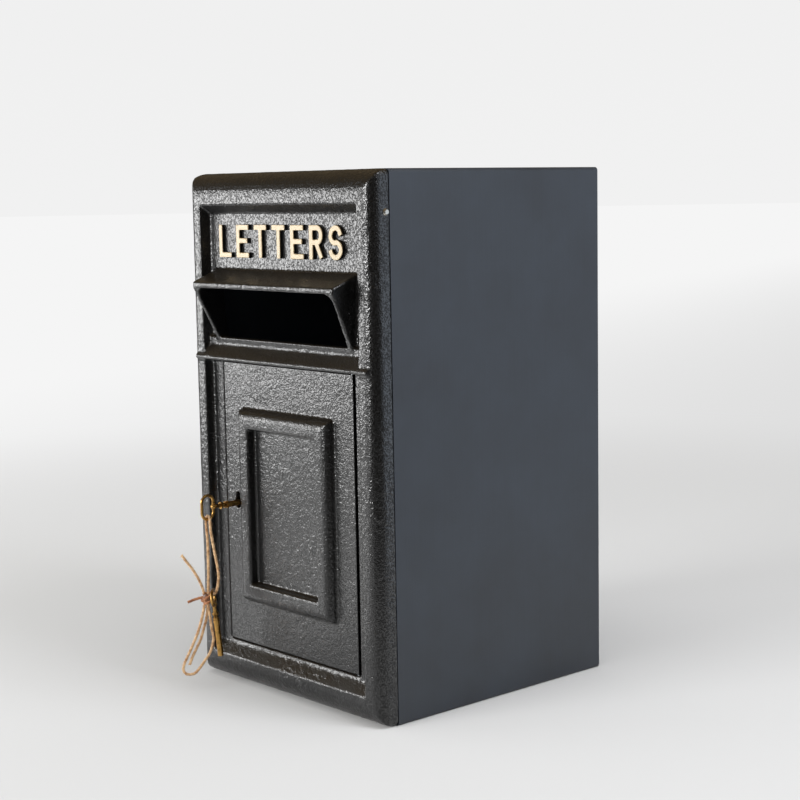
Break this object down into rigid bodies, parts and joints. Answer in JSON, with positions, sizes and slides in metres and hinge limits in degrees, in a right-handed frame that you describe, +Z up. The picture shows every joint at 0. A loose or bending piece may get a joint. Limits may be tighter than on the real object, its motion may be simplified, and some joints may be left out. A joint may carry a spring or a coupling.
{
  "type": "letter box",
  "caption": "Free-standing or wall-fixed letter box: black cast front with a hooded slot and a locked door, on a folded steel body.",
  "frame": {"origin": "centre of the sheet body's underside", "axes": "+Z up, the cast front faces -Y, +X to the right seen from the front"},
  "size_m": [0.2492, 0.3112, 0.45],
  "materials": {
    "black_iron": "gloss black paint over rough cast iron",
    "painted_sheet": "satin dark blue-grey paint",
    "zinc_screw": "bright zinc plate",
    "plain_steel": "bright drawn and pressed steel",
    "spring_steel": "blued spring steel",
    "key_brass": "cast and turned brass, aged",
    "jute_twine": "natural jute, laid in three plies"
  },
  "bodies": {
    "box": {"front_casting": "black_iron", "body_wrap": "painted_sheet", "back_plate": "painted_sheet", "fixing_lugs": "painted_sheet", "side_screws": "zinc_screw", "bottom_screws": "zinc_screw", "upper_hinge_pin": "plain_steel", "lower_hinge_pin": "plain_steel"},
    "door": {"door_casting": "black_iron", "lock_plate": "plain_steel", "lock_case": "plain_steel", "lock_ward": "plain_steel", "drill_pin": "plain_steel", "guide_post": "plain_steel", "bolt_spring": "spring_steel", "lock_screws": "zinc_screw"},
    "bolt": {"lock_bolt": "plain_steel"},
    "key": {"door_key": "key_brass"},
    "twine": {"spare_key": "key_brass", "twine_knot": "jute_twine", "twine_loop": "jute_twine", "twine_bow": "jute_twine", "twine_low_tail": "jute_twine", "twine_high_tail": "jute_twine", "twine_stub": "jute_twine"}
  },
  "joints": [
    {"name": "door_hinge", "type": "hinge", "parent": "box", "child": "door", "pos_m": [0.084, -0.1295, 0.162], "axis": [0, 0, 1], "range_deg": [0, 100]},
    {"name": "key_turn", "type": "hinge", "parent": "door", "child": "key", "pos_m": [-0.072, -0.125, 0.162], "axis": [0, 1, 0], "range_deg": [-90, 0]},
    {"name": "bolt_slide", "type": "slide", "parent": "door", "child": "bolt", "axis": [1, 0, 0], "range_m": [-0.008, 0]},
    {"name": "twine_hang", "type": "hinge", "parent": "key", "child": "twine", "pos_m": [-0.072, -0.167, 0.1515], "axis": [0, 1, 0], "range_deg": [0, 90]}
  ],
  "couplings": [
    {"joint": "bolt_slide", "follows": "key_turn", "m_per_rad": 0.00509},
    {"joint": "twine_hang", "follows": "key_turn", "ratio": -1}
  ]
}
